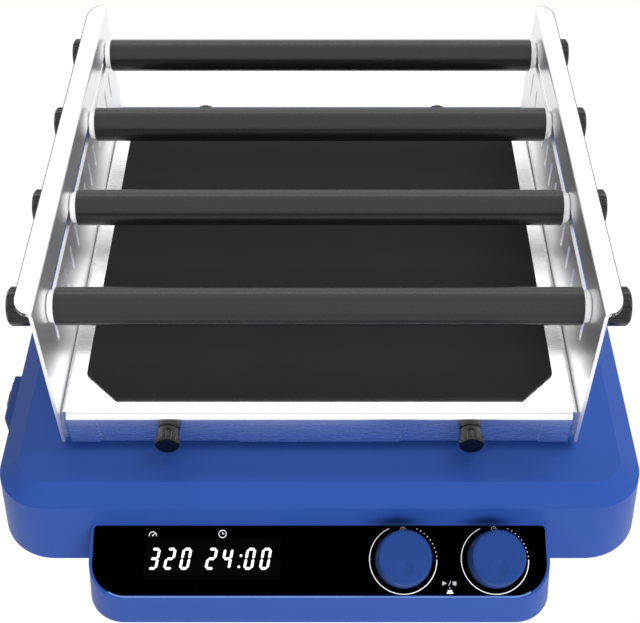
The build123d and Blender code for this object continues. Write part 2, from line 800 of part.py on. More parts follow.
# Drive belt round both pulleys
with BuildPart() as drive_belt:
    with BuildSketch(Plane.XY.offset(belt_z)):
        for reach, belt_mode in ((belt_gap + belt_thickness, Mode.ADD), (belt_gap, Mode.SUBTRACT)):
            with BuildSketch(mode=Mode.PRIVATE) as loop:
                Circle(driven_pulley_radius + reach)
                with Locations((0, motor_y)):
                    Circle(motor_pulley_radius + reach)
                make_hull()
            add(loop.sketch, mode=belt_mode)
    extrude(amount=belt_width)
drive_belt.part.label = "drive_belt"
export_step(drive_belt.part, "parts/drive_belt.step")

# Spindle housing: a flanged barrel with a ribbed foot and two bearing seats
with BuildPart() as spindle_housing:
    with BuildSketch(Plane.XY.offset(base_top_z)):
        Circle(spindle_flange_radius)
        with PolarLocations(spindle_flange_radius - spindle_screw_margin, 4, start_angle=45):
            Circle(screw_radius, mode=Mode.SUBTRACT)
    extrude(amount=spindle_flange_thickness)
    with BuildSketch(Plane.XY.offset(base_top_z)):
        Circle(spindle_barrel_radius)
    extrude(amount=spindle_barrel_top_z - base_top_z)
    # Four ribs between the foot and the barrel
    with BuildSketch(Plane.XZ):
        with BuildLine():
            Polyline(
                (spindle_barrel_radius - spindle_rib_root, base_top_z + spindle_flange_thickness / 2),
                (spindle_flange_radius - spindle_rib_toe, base_top_z + spindle_flange_thickness / 2),
                (spindle_flange_radius - spindle_rib_toe, base_top_z + spindle_flange_thickness),
                (spindle_barrel_radius, spindle_high_z),
                (spindle_barrel_radius - spindle_rib_root, spindle_high_z),
                close=True,
            )
        make_face()
    rib = extrude(amount=spindle_flange_thickness / 2, both=True, mode=Mode.PRIVATE)
    with PolarLocations(0, 4):
        add(rib)
    for seat_z, seat_depth in (
        (base_top_z, spindle_low_z + spindle_bearing_width - base_top_z),
        (spindle_high_z, spindle_bearing_width + spindle_barrel_lip),
    ):
        with BuildSketch(Plane.XY.offset(seat_z)):
            Circle(spindle_bearing_radius)
        extrude(amount=seat_depth, mode=Mode.SUBTRACT)
    with BuildSketch(Plane.XY.offset(spindle_low_z)):
        Circle(spindle_bearing_radius - housing_wall)
    extrude(amount=spindle_bearing_spread, mode=Mode.SUBTRACT)
spindle_housing.part.label = "spindle_housing"
export_step(spindle_housing.part, "parts/spindle_housing.step")

# Idler hubs under the housing's roof
idler_barrel_z = idler_bearing_z - idler_bearing_lip
with BuildPart() as idler_hubs:
    with BuildSketch(Plane.XY.offset(roof_z)):
        with Locations(*idler_places):
            Circle(idler_flange_radius)
    extrude(amount=-idler_flange_thickness)
    with BuildSketch(Plane.XY.offset(roof_z)):
        with Locations(*idler_places):
            Circle(idler_barrel_radius)
    extrude(amount=idler_barrel_z - roof_z)
    with BuildSketch(Plane.XY.offset(idler_barrel_z)):
        with Locations(*idler_places):
            Circle(idler_bearing_radius)
    extrude(amount=idler_bearing_width + idler_bearing_lip, mode=Mode.SUBTRACT)
    with BuildSketch(Plane.XY.offset(roof_z)):
        with Locations(*idler_places):
            Circle(idler_shoulder_radius + idler_hole_gap)
    extrude(amount=idler_barrel_z - roof_z, mode=Mode.SUBTRACT)
idler_hubs.part.label = "idler_hubs"
export_step(idler_hubs.part, "parts/idler_hubs.step")


def ball_bearing(outer, bore, width):
    """A ball bearing as one ring, with the recess of its shields on both sides."""
    middle = (outer + bore) / 2
    recess = (outer - bore) / 6
    with BuildPart() as ring:
        with BuildSketch():
            Circle(outer)
            Circle(bore + running_fit, mode=Mode.SUBTRACT)
        extrude(amount=width)
        for face_z, inwards in ((0, 1), (width, -1)):
            with BuildSketch(Plane.XY.offset(face_z)):
                Circle(middle + recess)
                Circle(middle - recess, mode=Mode.SUBTRACT)
            extrude(amount=inwards * shield_recess, mode=Mode.SUBTRACT)
    return ring.part


# The base's ball bearings: two for the spindle, one in each idler hub
spindle_ring = ball_bearing(spindle_bearing_radius, spindle_radius, spindle_bearing_width)
idler_ring = ball_bearing(idler_bearing_radius, idler_radius, idler_bearing_width)
with BuildPart() as base_bearings:
    with Locations((0, 0, spindle_low_z), (0, 0, spindle_high_z)):
        add(spindle_ring)
    with Locations(*[(x, y, idler_bearing_z) for x, y in idler_places]):
        add(idler_ring)
base_bearings.part.label = "base_bearings"
export_step(base_bearings.part, "parts/base_bearings.step")

# The platform's bearings: one for the crank pin, one for each idler pin
table_ring = ball_bearing(table_bearing_radius, spindle_radius, table_bearing_width)
with BuildPart() as table_bearings:
    with Locations((0, -orbit_radius, table_bearing_z)):
        add(table_ring)
    with Locations(*[(x, y, table_bearing_z) for x, y in pin_places]):
        add(idler_ring)
table_bearings.part.label = "table_bearings"
export_step(table_bearings.part, "parts/table_bearings.step")

# Crankshaft: shaft, counterweight seat and web about the spindle, then the offset pin
with BuildPart() as crankshaft:
    crank_steps = (
        (spindle_low_z - shaft_overhang, counterweight_z, spindle_radius),
        (counterweight_z, counterweight_top_z, counterweight_bore_radius),
        (counterweight_top_z, crank_web_top_z, crank_web_radius),
    )
    for low_z, high_z, radius in crank_steps:
        with BuildSketch(Plane.XY.offset(low_z)):
            Circle(radius)
        extrude(amount=high_z - low_z)
    pin_steps = (
        (crank_web_top_z, table_bearing_z - race_gap, spindle_radius + pin_shoulder),
        (
            table_bearing_z - race_gap,
            table_bearing_z + table_bearing_width + shaft_overhang,
            spindle_radius,
        ),
    )
    for low_z, high_z, radius in pin_steps:
        with BuildSketch(tray_plane.offset(low_z)):
            Circle(radius)
        extrude(amount=high_z - low_z)
crankshaft.part.label = "crankshaft"
export_step(crankshaft.part, "parts/crankshaft.step")

# Driven pulley: hub, thin web with six holes, and a flanged rim
with BuildPart() as driven_pulley:
    pulley_middle_z = pulley_z + pulley_width / 2
    with BuildSketch(Plane.XZ):
        with BuildLine():
            Polyline(
                (spindle_radius, pulley_z),
                (pulley_hub_radius, pulley_z),
                (pulley_hub_radius, pulley_middle_z - pulley_web / 2),
                (driven_pulley_radius - pulley_rim, pulley_middle_z - pulley_web / 2),
                (driven_pulley_radius - pulley_rim, pulley_z),
                (driven_pulley_radius + pulley_flange_rise, pulley_z),
                (driven_pulley_radius + pulley_flange_rise, pulley_z + pulley_flange),
                (driven_pulley_radius, pulley_z + pulley_flange),
                (driven_pulley_radius, pulley_top_z - pulley_flange),
                (driven_pulley_radius + pulley_flange_rise, pulley_top_z - pulley_flange),
                (driven_pulley_radius + pulley_flange_rise, pulley_top_z),
                (driven_pulley_radius - pulley_rim, pulley_top_z),
                (driven_pulley_radius - pulley_rim, pulley_middle_z + pulley_web / 2),
                (pulley_hub_radius, pulley_middle_z + pulley_web / 2),
                (pulley_hub_radius, pulley_top_z),
                (spindle_radius, pulley_top_z),
                close=True,
            )
        make_face()
    revolve(axis=Axis.Z)
    web_middle = (pulley_hub_radius + driven_pulley_radius - pulley_rim) / 2
    with BuildSketch(Plane.XY.offset(pulley_z)):
        with PolarLocations(web_middle, pulley_hole_count):
            Circle(pulley_hole_radius)
    extrude(amount=pulley_width, mode=Mode.SUBTRACT)
driven_pulley.part.label = "driven_pulley"
export_step(driven_pulley.part, "parts/driven_pulley.step")

# Counterweight: half a disc on the side away from the pin, round its hub
with BuildPart() as counterweight:
    with BuildSketch(Plane.XY.offset(counterweight_z)):
        with BuildLine():
            CenterArc((0, 0), counterweight_radius, 0, 180)
            Line((counterweight_radius, 0), (-counterweight_radius, 0))
        make_face()
        Circle(counterweight_hub_radius)
        Circle(counterweight_bore_radius, mode=Mode.SUBTRACT)
    extrude(amount=counterweight_thickness)
counterweight.part.label = "counterweight"
export_step(counterweight.part, "parts/counterweight.step")

# Idler cranks: a shaft in the hub, a web above the roof and a pin in the platform's bearing
for number, (idler_x, idler_y) in enumerate(idler_places, 1):
    with BuildPart() as idler_crank:
        shaft_steps = (
            (
                idler_bearing_z - shaft_overhang,
                idler_bearing_z + idler_bearing_width + race_gap,
                idler_radius,
            ),
            (idler_bearing_z + idler_bearing_width + race_gap, idler_web_z, idler_shoulder_radius),
        )
        for low_z, high_z, radius in shaft_steps:
            with BuildSketch(Plane.XY.offset(low_z)):
                with Locations((idler_x, idler_y)):
                    Circle(radius)
            extrude(amount=high_z - low_z)
        with BuildSketch(Plane.XY.offset(idler_web_z)):
            with Locations((idler_x, idler_y - orbit_radius / 2)):
                SlotCenterToCenter(orbit_radius, 2 * idler_web_radius, rotation=90)
        extrude(amount=idler_web_thickness)
        pin_steps = (
            (idler_web_top_z, table_bearing_z - race_gap, idler_shoulder_radius),
            (
                table_bearing_z - race_gap,
                table_bearing_z + idler_bearing_width + shaft_overhang,
                idler_radius - open_pivot_gap,
            ),
        )
        for low_z, high_z, radius in pin_steps:
            with BuildSketch(Plane.XY.offset(low_z)):
                with Locations((idler_x, idler_y - orbit_radius)):
                    Circle(radius)
            extrude(amount=high_z - low_z)
    idler_crank.part.label = f"idler_crank_{number}"
    export_step(idler_crank.part, f"parts/idler_crank_{number}.step")

# Table plate: a ribbed casting that drops into the tray
table_width = tray_width - 2 * (tray_sheet + table_fit)
table_length = tray_length - 2 * (tray_sheet + table_fit)
with BuildPart() as table_plate:
    with BuildSketch(tray_plane.offset(table_bottom_z)):
        RectangleRounded(table_width, table_length, tray_bend_radius)
    extrude(amount=table_depth)
    chamfer(table_plate.faces().sort_by(Axis.Z)[-1].edges(), tray_bend_radius - tray_sheet + table_fit)
    with BuildSketch(tray_plane.offset(table_bottom_z)):
        Rectangle(table_width - 2 * table_rim, table_length - 2 * table_rim)
    extrude(amount=table_depth - table_skin, mode=Mode.SUBTRACT)
    # Ribs through the bosses, and the bosses themselves
    rib_depth = table_depth - table_skin / 2
    with BuildSketch(tray_plane.offset(table_bottom_z + table_rib_rise)):
        for rib_y in (-idler_spacing_y / 2, 0, idler_spacing_y / 2):
            with Locations((0, rib_y)):
                Rectangle(table_width - table_rim, table_rib)
        for rib_x in (-idler_spacing_x / 2, 0, idler_spacing_x / 2):
            with Locations((rib_x, 0)):
                Rectangle(table_rib, table_length - table_rim)
    extrude(amount=rib_depth - table_rib_rise)
    with BuildSketch(tray_plane.offset(table_bottom_z)):
        Circle(table_bearing_radius + table_boss_wall)
        with Locations(*idler_places):
            Circle(idler_bearing_radius + table_boss_wall)
    extrude(amount=rib_depth)
    # Bearing seats from below, then the pins' clearance above them
    with BuildSketch(tray_plane.offset(table_bottom_z)):
        Circle(table_bearing_radius)
    extrude(amount=table_bearing_z + table_bearing_width - table_bottom_z, mode=Mode.SUBTRACT)
    with BuildSketch(tray_plane.offset(table_bottom_z)):
        with Locations(*idler_places):
            Circle(idler_bearing_radius)
    extrude(amount=table_bearing_z + idler_bearing_width - table_bottom_z, mode=Mode.SUBTRACT)
    with BuildSketch(tray_plane.offset(table_bottom_z)):
        Circle(spindle_radius + pin_shoulder)
        with Locations(*idler_places):
            Circle(idler_shoulder_radius)
    extrude(amount=table_bearing_inset + table_bearing_width + pin_top_gap, mode=Mode.SUBTRACT)
    # Threaded holes for the thumb screws
    for end in (-1, 1):
        hole_plane = Plane(
            origin=(0, -orbit_radius + end * tray_length / 2, thumb_z),
            x_dir=(end, 0, 0),
            z_dir=(0, -end, 0),
        )
        with BuildSketch(hole_plane):
            with GridLocations(thumb_spacing, 0, 2, 1):
                Circle(thumb_shank_radius + running_fit)
        extrude(amount=tray_sheet + thumb_shank_grip + thumb_end_gap, mode=Mode.SUBTRACT)
table_plate.part.label = "table_plate"
export_step(table_plate.part, "parts/table_plate.step")

# Tray floor: a sheet folded down on all four sides, open at the corners
with BuildPart() as tray_floor:
    with BuildSketch(tray_plane.offset(lip_bottom_z)):
        Rectangle(tray_width, tray_length)
    extrude(amount=lip_height)
    fillet(tray_floor.faces().sort_by(Axis.Z)[-1].edges(), tray_bend_radius)
    with BuildSketch(tray_plane.offset(lip_bottom_z)):
        Rectangle(tray_width - 2 * tray_sheet, tray_length - 2 * tray_sheet)
    inside = extrude(amount=lip_height - tray_sheet, mode=Mode.PRIVATE)
    inside = inside.fillet(tray_bend_radius - tray_sheet, inside.faces().sort_by(Axis.Z)[-1].edges())
    add(inside, mode=Mode.SUBTRACT)
    # The folds stop short of each other at the corners
    with BuildSketch(tray_plane.offset(lip_bottom_z)):
        with GridLocations(tray_width, tray_length, 2, 2):
            Rectangle(2 * tray_corner_relief, 2 * tray_corner_relief)
    extrude(amount=lip_height, mode=Mode.SUBTRACT)
    # The thumb screws' holes, each in a pressed recess of its lip
    for end in (-1, 1):
        lip_plane = Plane(
            origin=(0, -orbit_radius + end * tray_length / 2, thumb_z),
            x_dir=(end, 0, 0),
            z_dir=(0, -end, 0),
        )
        with BuildSketch(lip_plane):
            with GridLocations(thumb_spacing, 0, 2, 1):
                Rectangle(lip_recess_width, 2 * (lip_height - thumb_drop))
        extrude(amount=lip_recess_depth, mode=Mode.SUBTRACT)
        with BuildSketch(lip_plane):
            with GridLocations(thumb_spacing, 0, 2, 1):
                Circle(thumb_shank_radius + thumb_hole_gap)
        extrude(amount=tray_sheet, mode=Mode.SUBTRACT)
tray_floor.part.label = "tray_floor"
export_step(tray_floor.part, "parts/tray_floor.step")

# Right side plate: a wall with an outward flange, a long bar slot and a row of hook slots
with BuildPart() as side_plate_right:
    with BuildSketch(Plane.XZ.offset(-tray_front_y)) as section:
        with BuildLine():
            Polyline(
                (wall_inner_x, lip_bottom_z),
                (wall_outer_x, lip_bottom_z),
                (wall_outer_x, side_top_z - tray_sheet),
                (wall_inner_x + side_flange, side_top_z - tray_sheet),
                (wall_inner_x + side_flange, side_top_z),
                (wall_inner_x, side_top_z),
                close=True,
            )
        make_face()
        fillet(section.vertices().group_by(Axis.X)[0].sort_by(Axis.Y)[-1], tray_bend_radius)
        fillet(section.vertices().group_by(Axis.X)[-3].sort_by(Axis.Y)[-1], tray_bend_radius - tray_sheet)
    extrude(amount=-tray_length)
    # The flange's corners are rounded off, further along the plate than across it
    with BuildSketch(Plane.XY.offset(side_top_z)):
        for end, y_align in ((-1, Align.MAX), (1, Align.MIN)):
            corner_x = wall_inner_x + side_flange - flange_corner_width
            corner_y = end * (tray_length / 2 - flange_corner_length) - orbit_radius
            with Locations((corner_x, corner_y)):
                Rectangle(flange_corner_width, flange_corner_length, align=(Align.MIN, y_align))
                Ellipse(flange_corner_width, flange_corner_length, mode=Mode.SUBTRACT)
    extrude(amount=-tray_sheet, mode=Mode.SUBTRACT)
    wall_plane = Plane(origin=(wall_inner_x, -orbit_radius, 0), x_dir=(0, 1, 0), z_dir=(1, 0, 0))
    with BuildSketch(wall_plane):
        with Locations((bar_slot_shift, bar_z)):
            SlotOverall(bar_slot_length, bar_slot_height)
        with Locations((hook_slot_shift, floor_z + hook_slot_height)):
            with GridLocations(hook_slot_pitch, 0, hook_slot_count, 1):
                SlotOverall(hook_slot_length, hook_slot_width, rotation=90)
    extrude(amount=tray_sheet, mode=Mode.SUBTRACT)
side_plate_right.part.label = "side_plate_right"
export_step(side_plate_right.part, "parts/side_plate_right.step")

# Left side plate, the mirror image
with BuildPart() as side_plate_left:
    mirror(side_plate_right.part, about=Plane.YZ)
side_plate_left.part.label = "side_plate_left"
export_step(side_plate_left.part, "parts/side_plate_left.step")

# Rubber mat with cut corners
with BuildPart() as mat:
    with BuildSketch(tray_plane.offset(floor_z)) as mat_plan:
        Rectangle(mat_width, mat_length)
        chamfer(mat_plan.vertices(), mat_corner)
    extrude(amount=mat_thickness)
mat.part.label = "mat"
export_step(mat.part, "parts/mat.step")


def fluted_knob():
    """A clamping knob with its hub and stud, along X, its hub's face at the origin."""
    with BuildPart() as knob:
        with BuildSketch(Plane.XY):
            with BuildLine():
                Polyline(
                    (-bar_knob_gap - tray_sheet - bar_end_gap - bar_stud_grip, 0),
                    (-bar_knob_gap - tray_sheet - bar_end_gap - bar_stud_grip, bar_stud_radius),
                    (0, bar_stud_radius),
                    (0, bar_knob_hub_radius),
                    (bar_knob_hub_length, bar_knob_hub_radius),
                    (bar_knob_hub_length, bar_knob_radius - bar_knob_chamfer),
                    (bar_knob_hub_length + bar_knob_chamfer, bar_knob_radius),
                    (bar_knob_hub_length + bar_knob_length - bar_knob_chamfer, bar_knob_radius),
                    (bar_knob_hub_length + bar_knob_length, bar_knob_radius - bar_knob_chamfer),
                    (bar_knob_hub_length + bar_knob_length, 0),
                    close=True,
                )
            make_face()
        revolve(axis=Axis.X)
        with BuildSketch(Plane.YZ.offset(bar_knob_hub_length)):
            with PolarLocations(
                bar_knob_radius + bar_knob_flute_radius - bar_knob_flute_depth, bar_knob_flutes
            ):
                Circle(bar_knob_flute_radius)
        extrude(amount=bar_knob_length, mode=Mode.SUBTRACT)
    return knob.part


def thumb_screw():
    """A knurled thumb screw along X, its head's inner face at the origin."""
    with BuildPart() as screw:
        with BuildSketch(Plane.XY):
            with BuildLine():
                Polyline(
                    (-thumb_gap - tray_sheet - table_fit - thumb_shank_grip, 0),
                    (-thumb_gap - tray_sheet - table_fit - thumb_shank_grip, thumb_shank_radius),
                    (0, thumb_shank_radius),
                    (0, thumb_neck_radius - thumb_chamfer),
                    (thumb_chamfer, thumb_neck_radius),
                    (thumb_head_length - thumb_chamfer, thumb_head_radius),
                    (thumb_head_length, thumb_head_radius - thumb_chamfer),
                    (thumb_head_length, 0),
                    close=True,
                )
            make_face()
        revolve(axis=Axis.X)
        with BuildSketch(Plane.YZ):
            with PolarLocations(thumb_head_radius + thumb_flute_shift, thumb_flutes):
                Circle(thumb_flute_radius)
        extrude(amount=thumb_head_length, mode=Mode.SUBTRACT)
    return screw.part


# Clamp bars, each with its sleeve and a knob at each end
knob_shape = fluted_knob()
knob_x = wall_outer_x + bar_knob_gap
for number, bar_y in enumerate(bar_places, 1):
    bar_plane = Plane(origin=(0, bar_y - orbit_radius, bar_z), x_dir=(0, 1, 0), z_dir=(1, 0, 0))
    with BuildPart() as bar_core:
        with BuildSketch(bar_plane.offset(-core_half)):
            Circle(bar_core_radius)
        extrude(amount=2 * core_half)
        chamfer(bar_core.edges().filter_by(GeomType.CIRCLE), bar_end_chamfer)
        for end_plane, inwards in ((bar_plane.offset(-core_half), 1), (bar_plane.offset(core_half), -1)):
            with BuildSketch(end_plane):
                Circle(bar_stud_radius + running_fit)
            extrude(amount=inwards * (bar_stud_grip + bar_stud_end_gap), mode=Mode.SUBTRACT)
    bar_core.part.label = f"bar_core_{number}"
    export_step(bar_core.part, f"parts/bar_core_{number}.step")

    with BuildPart() as bar_sleeve:
        with BuildSketch(bar_plane.offset(-bar_sleeve_length / 2)):
            Circle(bar_sleeve_radius)
            Circle(bar_core_radius, mode=Mode.SUBTRACT)
        extrude(amount=bar_sleeve_length)
    bar_sleeve.part.label = f"bar_sleeve_{number}"
    export_step(bar_sleeve.part, f"parts/bar_sleeve_{number}.step")

    for side_name, turn in (("right", 0), ("left", 180)):
        side = 1 if turn == 0 else -1
        with BuildPart() as bar_knob:
            with Locations(Location((side * knob_x, bar_y - orbit_radius, bar_z), (0, 0, turn))):
                add(knob_shape)
        bar_knob.part.label = f"bar_knob_{number}_{side_name}"
        export_step(bar_knob.part, f"parts/bar_knob_{number}_{side_name}.step")

# Thumb screws, two in the front lip and two in the rear lip
thumb_shape = thumb_screw()
for end_name, end, turn in (("front", -1, -90), ("rear", 1, 90)):
    thumb_y = -orbit_radius + end * (tray_length / 2 - lip_recess_depth + thumb_gap)
    for side_name, side in (("left", -1), ("right", 1)):
        with BuildPart() as thumb:
            with Locations(Location((side * thumb_spacing / 2, thumb_y, thumb_z), (0, 0, turn))):
                add(thumb_shape)
        thumb.part.label = f"thumb_screw_{end_name}_{side_name}"
        export_step(thumb.part, f"parts/thumb_screw_{end_name}_{side_name}.step")
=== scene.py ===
import json
import math

import bmesh
import bpy
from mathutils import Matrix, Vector


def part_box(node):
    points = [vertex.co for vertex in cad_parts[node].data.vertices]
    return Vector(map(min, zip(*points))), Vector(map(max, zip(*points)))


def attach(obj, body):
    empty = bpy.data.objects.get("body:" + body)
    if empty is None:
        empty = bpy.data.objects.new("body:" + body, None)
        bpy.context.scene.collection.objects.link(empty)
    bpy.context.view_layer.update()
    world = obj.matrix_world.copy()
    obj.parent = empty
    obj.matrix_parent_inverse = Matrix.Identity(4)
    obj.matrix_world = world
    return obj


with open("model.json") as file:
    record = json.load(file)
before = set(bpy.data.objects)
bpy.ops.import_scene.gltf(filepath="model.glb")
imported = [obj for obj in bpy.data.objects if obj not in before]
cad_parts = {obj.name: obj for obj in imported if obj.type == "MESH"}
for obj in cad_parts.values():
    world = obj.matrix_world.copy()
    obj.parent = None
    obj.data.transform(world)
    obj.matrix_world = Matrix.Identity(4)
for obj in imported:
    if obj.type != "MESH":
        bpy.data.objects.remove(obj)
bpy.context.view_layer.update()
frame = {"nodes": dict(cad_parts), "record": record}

nodes = frame["nodes"]
node_slots = {part["node"]: part["material_slot"] for part in frame["record"]["subparts"]}

# Lengths are written in millimetres and multiplied by MM
MM = 0.001

# The panel's slope and the distances of its graphics, across (x) and down the slope (t)
PANEL_TILT = math.radians(27.0)
PANEL_BACK_RIM = 2.8
OVERLAY_THICKNESS = 1.2
LENS_DROP = 0.15
PRINT_LIFT = 0.03
PRINT_DEPTH = 0.05

# The figures in the display window. A segment's spread and points are shares of half a stroke,
# and the colon's centre and heights are shares of its width and of a figure's height
DIGIT_TOP = 15.1
DIGIT_HEIGHT = 12.3
DIGIT_WIDTH = 5.6
DIGIT_PITCH = 8.9
DIGIT_STROKE = 1.6
DIGIT_SLANT = math.radians(10.0)
SPEED_DIGITS_X = -97.2
TIME_DIGITS_X = -64.9
SEGMENT_GAP = 0.16
SEGMENT_SPREAD = 0.92
SEGMENT_POINT = 0.8
COLON_WIDTH = 3.9
COLON_CENTRE = 0.36
COLON_HEIGHTS = (0.36, 0.86)
COLON_RADIUS = 0.75

# The dials' rings and dots, their angles in degrees anticlockwise from the right
DIAL_X = {"speed": 47.3, "time": 99.1}
DIAL_DROP = 21.8
RING_RADIUS = 19.0
RING_WIDTH = 0.5
RING_END = 114.0
RING_STEPS = 96
DOT_COUNT = 9
DOT_FIRST = 5.6
DOT_PITCH = 7.4
DOT_RADIUS = 0.3
DOT_STEPS = 8

# The small marks over the window and the dials
WINDOW_MARK_SIZE = 2.1
SPEED_MARK = (-94.6, 7.6)
TIME_MARK = (-55.0, 7.4)
DIAL_MARK_DROP = 4.5
SPEED_DIAL_MARK_SIZE = 1.35
TIME_DIAL_MARK_SIZE = 1.3
GAUGE_STEPS = 20
CLOCK_STEPS = 28


# Materials
PATCH_SCALE = 22.0
PATCH_DETAIL = 4.0
PATCH_ROUGHNESS = 0.6
GRAIN_DETAIL = 3.0
RAMP_ENDS = (0.3, 0.7)
PRINT_GRAIN = 700.0
PRINT_DIP = 0.93
PRINT_ROUGH = 0.45


def new_material(name):
    """A new node material, its node tree and its principled shader."""
    material = bpy.data.materials.new(name)
    material.use_nodes = True
    tree = material.node_tree
    return material, tree, tree.nodes["Principled BSDF"]


def noise(tree, scale, detail=2.0, roughness=0.5, stretch=(1.0, 1.0, 1.0)):
    """A noise texture in the object's own coordinates, stretched along an axis if asked."""
    coordinates = tree.nodes.new("ShaderNodeTexCoord")
    mapping = tree.nodes.new("ShaderNodeMapping")
    mapping.inputs["Scale"].default_value = stretch
    texture = tree.nodes.new("ShaderNodeTexNoise")
    texture.inputs["Scale"].default_value = scale
    texture.inputs["Detail"].default_value = detail
    texture.inputs["Roughness"].default_value = roughness
    tree.links.new(coordinates.outputs["Object"], mapping.inputs["Vector"])
    tree.links.new(mapping.outputs["Vector"], texture.inputs["Vector"])
    return texture


def ramp_between(tree, factor, low, high):
    """A ramp from one value or colour to another, led by a factor."""
    ramp = tree.nodes.new("ShaderNodeValToRGB")
    for element, place, value in zip(ramp.color_ramp.elements, RAMP_ENDS, (low, high)):
        element.position = place
        element.color = (*value, 1.0) if hasattr(value, "__len__") else (value, value, value, 1.0)
    tree.links.new(factor, ramp.inputs["Fac"])
    return ramp.outputs["Color"]


def surface(name, colour, rough, metallic=0.0, specular=0.5, spread=0.06, rough_spread=0.05,
            grain=900.0, grain_bump=0.1, grain_depth=0.00005, stretch=(1.0, 1.0, 1.0)):
    """A surface whose colour drifts in patches, with a fine grain in its roughness and bump."""
    material, tree, shader = new_material(name)
    shader.inputs["Metallic"].default_value = metallic
    shader.inputs["Specular IOR Level"].default_value = specular
    broad = noise(tree, PATCH_SCALE, PATCH_DETAIL, PATCH_ROUGHNESS, stretch)
    dark = [c * (1.0 - spread) for c in colour]
    light = [min(1.0, c * (1.0 + spread)) for c in colour]
    tree.links.new(ramp_between(tree, broad.outputs["Fac"], dark, light), shader.inputs["Base Color"])
    fine = noise(tree, grain, GRAIN_DETAIL, stretch=stretch)
    smoothest = max(0.0, rough - rough_spread)
    roughest = rough + rough_spread
    tree.links.new(
        ramp_between(tree, fine.outputs["Fac"], smoothest, roughest), shader.inputs["Roughness"]
    )
    bump = tree.nodes.new("ShaderNodeBump")
    bump.inputs["Strength"].default_value = grain_bump
    bump.inputs["Distance"].default_value = grain_depth
    tree.links.new(fine.outputs["Fac"], bump.inputs["Height"])
    tree.links.new(bump.outputs["Normal"], shader.inputs["Normal"])
    return material


def glow(name, colour, strength):
    """A print that gives off light of its own, with a slight drift in its colour: the display's lit
    figures, and a painted glow on the panel's ink prints.
    """
    material, tree, shader = new_material(name)
    fine = noise(tree, PRINT_GRAIN)
    shade = ramp_between(tree, fine.outputs["Fac"], [c * PRINT_DIP for c in colour], colour)
    tree.links.new(shade, shader.inputs["Base Color"])
    tree.links.new(shade, shader.inputs["Emission Color"])
    shader.inputs["Emission Strength"].default_value = strength
    shader.inputs["Roughness"].default_value = PRINT_ROUGH
    return material


BLUE = (0.022, 0.074, 0.330)
LINES_ALONG_X = (0.02, 1.0, 1.0)
LINES_ALONG_Y = (1.0, 0.03, 1.0)
materials = {
    "housing_blue": surface("housing_paint", BLUE, 0.42, specular=0.16, spread=0.03, grain=1500.0,
                            grain_bump=0.10),
    "knob_blue": surface("knob_paint", (0.013, 0.048, 0.215), 0.36, specular=0.16, spread=0.04,
                         grain=2200.0, grain_bump=0.08),
    "panel_black": surface("panel_film", (0.0003, 0.0003, 0.0004), 0.30, specular=0.0, spread=0.2,
                           grain=3000.0, grain_bump=0.03),
    "display_lens": surface("lens_film", (0.0006, 0.0006, 0.0007), 0.22, specular=0.01, spread=0.2,
                            rough_spread=0.02, grain=400.0, grain_bump=0.01),
    "tray_steel": surface("tray_sheet", (0.985, 0.986, 0.990), 0.27, metallic=1.0, spread=0.01,
                          rough_spread=0.01, grain=900.0, grain_bump=0.001, grain_depth=0.000001,
                          stretch=LINES_ALONG_X),
    "side_steel": surface("side_sheet", (0.90, 0.905, 0.915), 0.30, metallic=0.85, spread=0.02,
                          rough_spread=0.01, grain=600.0, grain_bump=0.02, grain_depth=0.000002,
                          stretch=LINES_ALONG_Y),
    "mat_rubber": surface("mat_sheet", (0.0190, 0.0190, 0.0202), 0.66, specular=0.12, spread=0.08,
                          grain=1800.0, grain_bump=0.35, grain_depth=0.0001),
    "sleeve_rubber": surface("sleeve_foam", (0.0060, 0.0060, 0.0066), 0.29, specular=0.50, spread=0.10,
                             grain=2600.0, grain_bump=0.20, grain_depth=0.00005),
    "bar_metal": surface("bar_core_metal", (0.97, 0.972, 0.975), 0.40, metallic=0.25, spread=0.02,
                         grain=900.0, grain_bump=0.05),
    "knob_black": surface("knob_plastic", (0.0010, 0.0010, 0.0011), 0.16, specular=0.45, spread=0.10,
                          grain=1600.0, grain_bump=0.12),
    "foot_rubber": surface("foot_rubber_skin", (0.012, 0.012, 0.013), 0.60, spread=0.10, grain_bump=0.3),
    "base_steel": surface("base_sheet", (0.16, 0.17, 0.18), 0.42, metallic=0.6, grain=1200.0),
    "screw_steel": surface("screw_metal", (0.55, 0.56, 0.58), 0.28, metallic=1.0, grain=2500.0),
    "switch_black": surface("switch_plastic", (0.010, 0.010, 0.011), 0.26, grain=2200.0),
    "inlet_black": surface("inlet_plastic", (0.012, 0.012, 0.013), 0.48, grain=1800.0, grain_bump=0.2),
    "cast_aluminium": surface("cast_metal", (0.55, 0.56, 0.57), 0.42, metallic=1.0, grain=700.0,
                              grain_bump=0.3),
    "motor_metal": surface("motor_paint", (0.05, 0.05, 0.055), 0.40, grain=1500.0),
    "shaft_steel": surface("ground_shaft", (0.60, 0.61, 0.63), 0.18, metallic=1.0, grain=1500.0),
    "bearing_steel": surface("bearing_ring", (0.62, 0.63, 0.65), 0.14, metallic=1.0, grain=1500.0),
    "weight_iron": surface("cast_iron_skin", (0.20, 0.20, 0.21), 0.55, metallic=0.8, grain=600.0,
                           grain_bump=0.4),
    "belt_rubber": surface("belt_skin", (0.015, 0.015, 0.015), 0.60, grain=1800.0, grain_bump=0.3),
    "board_green": surface("board_resist", (0.020, 0.150, 0.060), 0.35, grain=1200.0),
    "supply_case": surface("supply_sheet", (0.60, 0.61, 0.62), 0.32, metallic=1.0, grain=900.0),
}
digit_white = glow("digit_light", (0.92, 0.93, 0.95), 0.55)
# The panel's white and grey ink prints also glow a little: a painted glow over their ink's own colour
white_print_painted_glow = glow("painted_glow_ink", (0.80, 0.80, 0.82), 0.22)
grey_print_painted_glow = glow("painted_glow_faint_ink", (0.42, 0.42, 0.44), 0.30)

for node, thing in nodes.items():
    thing.data.materials.clear()
    thing.data.materials.append(materials[node_slots[node]])


